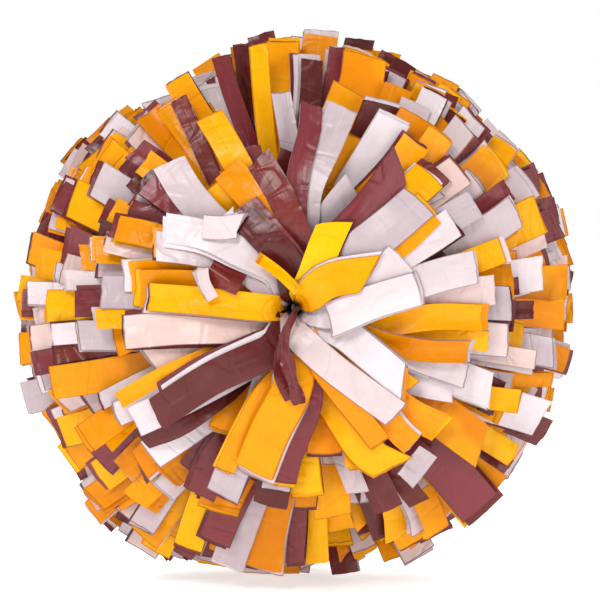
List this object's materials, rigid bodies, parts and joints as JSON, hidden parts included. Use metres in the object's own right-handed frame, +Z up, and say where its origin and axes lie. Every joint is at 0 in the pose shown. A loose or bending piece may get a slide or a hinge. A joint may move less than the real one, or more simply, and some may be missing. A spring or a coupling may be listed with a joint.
{
  "type": "cheer pom pom",
  "caption": "Hidden-handle cheer pom pom: gold, white and maroon slit-film strands tied at both ends of a short baton that is gripped inside the ball.",
  "frame": {"origin": "centre of the baton's grip, which is also the centre of the ball", "axes": "+Y along the baton from its front end to its rear end, +Z up, +X to the right seen from the front"},
  "size_m": [0.305, 0.2574, 0.296],
  "materials": {
    "gold_film": "glossy golden yellow film, soft creases",
    "white_film": "glossy silver-white pearl film, slightly translucent",
    "maroon_film": "glossy deep maroon film with a pale sheen",
    "band_film": "gathered uncut middle bands of the three films",
    "grip_plastic": "matte black moulded plastic",
    "plug_plastic": "matte black moulded plastic",
    "tie_nylon": "natural nylon cable tie",
    "screw_steel": "zinc-plated steel screw"
  },
  "bodies": {
    "baton": {"grip_tube": "grip_plastic", "front_end_plug": "plug_plastic", "front_web_core": "band_film", "front_cable_tie": "tie_nylon", "front_end_cap": "plug_plastic", "front_cap_screw": "screw_steel", "rear_end_plug": "plug_plastic", "rear_web_core": "band_film", "rear_cable_tie": "tie_nylon", "rear_end_cap": "plug_plastic", "rear_cap_screw": "screw_steel"},
    "front_crown_upper_right_tuft": {"front_crown_upper_right_gold_web": "gold_film", "front_crown_upper_right_white_web": "white_film", "front_crown_upper_right_maroon_web": "maroon_film"},
    "front_crown_upper_left_tuft": {"front_crown_upper_left_gold_web": "gold_film", "front_crown_upper_left_white_web": "white_film", "front_crown_upper_left_maroon_web": "maroon_film"},
    "front_crown_lower_left_tuft": {"front_crown_lower_left_gold_web": "gold_film", "front_crown_lower_left_white_web": "white_film", "front_crown_lower_left_maroon_web": "maroon_film"},
    "front_crown_lower_right_tuft": {"front_crown_lower_right_gold_web": "gold_film", "front_crown_lower_right_white_web": "white_film", "front_crown_lower_right_maroon_web": "maroon_film"},
    "front_skirt_right_tuft": {"front_skirt_right_gold_web": "gold_film", "front_skirt_right_white_web": "white_film", "front_skirt_right_maroon_web": "maroon_film"},
    "front_skirt_top_tuft": {"front_skirt_top_gold_web": "gold_film", "front_skirt_top_white_web": "white_film", "front_skirt_top_maroon_web": "maroon_film"},
    "front_skirt_left_tuft": {"front_skirt_left_gold_web": "gold_film", "front_skirt_left_white_web": "white_film", "front_skirt_left_maroon_web": "maroon_film"},
    "front_skirt_bottom_tuft": {"front_skirt_bottom_gold_web": "gold_film", "front_skirt_bottom_white_web": "white_film", "front_skirt_bottom_maroon_web": "maroon_film"},
    "rear_crown_upper_right_tuft": {"rear_crown_upper_right_gold_web": "gold_film", "rear_crown_upper_right_white_web": "white_film", "rear_crown_upper_right_maroon_web": "maroon_film"},
    "rear_crown_upper_left_tuft": {"rear_crown_upper_left_gold_web": "gold_film", "rear_crown_upper_left_white_web": "white_film", "rear_crown_upper_left_maroon_web": "maroon_film"},
    "rear_crown_lower_left_tuft": {"rear_crown_lower_left_gold_web": "gold_film", "rear_crown_lower_left_white_web": "white_film", "rear_crown_lower_left_maroon_web": "maroon_film"},
    "rear_crown_lower_right_tuft": {"rear_crown_lower_right_gold_web": "gold_film", "rear_crown_lower_right_white_web": "white_film", "rear_crown_lower_right_maroon_web": "maroon_film"},
    "rear_skirt_right_tuft": {"rear_skirt_right_gold_web": "gold_film", "rear_skirt_right_white_web": "white_film", "rear_skirt_right_maroon_web": "maroon_film"},
    "rear_skirt_top_tuft": {"rear_skirt_top_gold_web": "gold_film", "rear_skirt_top_white_web": "white_film", "rear_skirt_top_maroon_web": "maroon_film"},
    "rear_skirt_left_tuft": {"rear_skirt_left_gold_web": "gold_film", "rear_skirt_left_white_web": "white_film", "rear_skirt_left_maroon_web": "maroon_film"},
    "rear_skirt_bottom_tuft": {"rear_skirt_bottom_gold_web": "gold_film", "rear_skirt_bottom_white_web": "white_film", "rear_skirt_bottom_maroon_web": "maroon_film"}
  },
  "joints": [
    {"name": "front_crown_upper_right_flex", "type": "hinge", "parent": "baton", "child": "front_crown_upper_right_tuft", "pos_m": [0.00848, -0.068, 0.00848], "axis": [-0.7071, 0, 0.7071], "range_deg": [-4, 4], "stiffness_Nm_per_rad": 1},
    {"name": "front_crown_upper_left_flex", "type": "hinge", "parent": "baton", "child": "front_crown_upper_left_tuft", "pos_m": [-0.00848, -0.068, 0.00848], "axis": [-0.7071, 0, -0.7071], "range_deg": [-4, 4], "stiffness_Nm_per_rad": 1},
    {"name": "front_crown_lower_left_flex", "type": "hinge", "parent": "baton", "child": "front_crown_lower_left_tuft", "pos_m": [-0.00848, -0.068, -0.00848], "axis": [0.7071, 0, -0.7071], "range_deg": [-4, 4], "stiffness_Nm_per_rad": 1},
    {"name": "front_crown_lower_right_flex", "type": "hinge", "parent": "baton", "child": "front_crown_lower_right_tuft", "pos_m": [0.00848, -0.068, -0.00848], "axis": [0.7071, 0, 0.7071], "range_deg": [-4, 4], "stiffness_Nm_per_rad": 1},
    {"name": "front_skirt_right_flex", "type": "hinge", "parent": "baton", "child": "front_skirt_right_tuft", "pos_m": [0.0155, -0.048, 0], "axis": [0, 0, 1], "range_deg": [-3, 2], "stiffness_Nm_per_rad": 1},
    {"name": "front_skirt_top_flex", "type": "hinge", "parent": "baton", "child": "front_skirt_top_tuft", "pos_m": [0, -0.048, 0.0155], "axis": [-1, 0, 0], "range_deg": [-3, 2], "stiffness_Nm_per_rad": 1},
    {"name": "front_skirt_left_flex", "type": "hinge", "parent": "baton", "child": "front_skirt_left_tuft", "pos_m": [-0.0155, -0.048, 0], "axis": [0, 0, -1], "range_deg": [-3, 2], "stiffness_Nm_per_rad": 1},
    {"name": "front_skirt_bottom_flex", "type": "hinge", "parent": "baton", "child": "front_skirt_bottom_tuft", "pos_m": [0, -0.048, -0.0155], "axis": [1, 0, 0], "range_deg": [-3, 2], "stiffness_Nm_per_rad": 1},
    {"name": "rear_crown_upper_right_flex", "type": "hinge", "parent": "baton", "child": "rear_crown_upper_right_tuft", "pos_m": [0.00848, 0.068, 0.00848], "axis": [0.7071, 0, -0.7071], "range_deg": [-4, 4], "stiffness_Nm_per_rad": 1},
    {"name": "rear_crown_upper_left_flex", "type": "hinge", "parent": "baton", "child": "rear_crown_upper_left_tuft", "pos_m": [-0.00848, 0.068, 0.00848], "axis": [0.7071, 0, 0.7071], "range_deg": [-4, 4], "stiffness_Nm_per_rad": 1},
    {"name": "rear_crown_lower_left_flex", "type": "hinge", "parent": "baton", "child": "rear_crown_lower_left_tuft", "pos_m": [-0.00848, 0.068, -0.00848], "axis": [-0.7071, 0, 0.7071], "range_deg": [-4, 4], "stiffness_Nm_per_rad": 1},
    {"name": "rear_crown_lower_right_flex", "type": "hinge", "parent": "baton", "child": "rear_crown_lower_right_tuft", "pos_m": [0.00848, 0.068, -0.00848], "axis": [-0.7071, 0, -0.7071], "range_deg": [-4, 4], "stiffness_Nm_per_rad": 1},
    {"name": "rear_skirt_right_flex", "type": "hinge", "parent": "baton", "child": "rear_skirt_right_tuft", "pos_m": [0.0155, 0.048, 0], "axis": [0, 0, -1], "range_deg": [-3, 2], "stiffness_Nm_per_rad": 1},
    {"name": "rear_skirt_top_flex", "type": "hinge", "parent": "baton", "child": "rear_skirt_top_tuft", "pos_m": [0, 0.048, 0.0155], "axis": [1, 0, 0], "range_deg": [-3, 2], "stiffness_Nm_per_rad": 1},
    {"name": "rear_skirt_left_flex", "type": "hinge", "parent": "baton", "child": "rear_skirt_left_tuft", "pos_m": [-0.0155, 0.048, 0], "axis": [0, 0, 1], "range_deg": [-3, 2], "stiffness_Nm_per_rad": 1},
    {"name": "rear_skirt_bottom_flex", "type": "hinge", "parent": "baton", "child": "rear_skirt_bottom_tuft", "pos_m": [0, 0.048, -0.0155], "axis": [-1, 0, 0], "range_deg": [-3, 2], "stiffness_Nm_per_rad": 1}
  ]
}
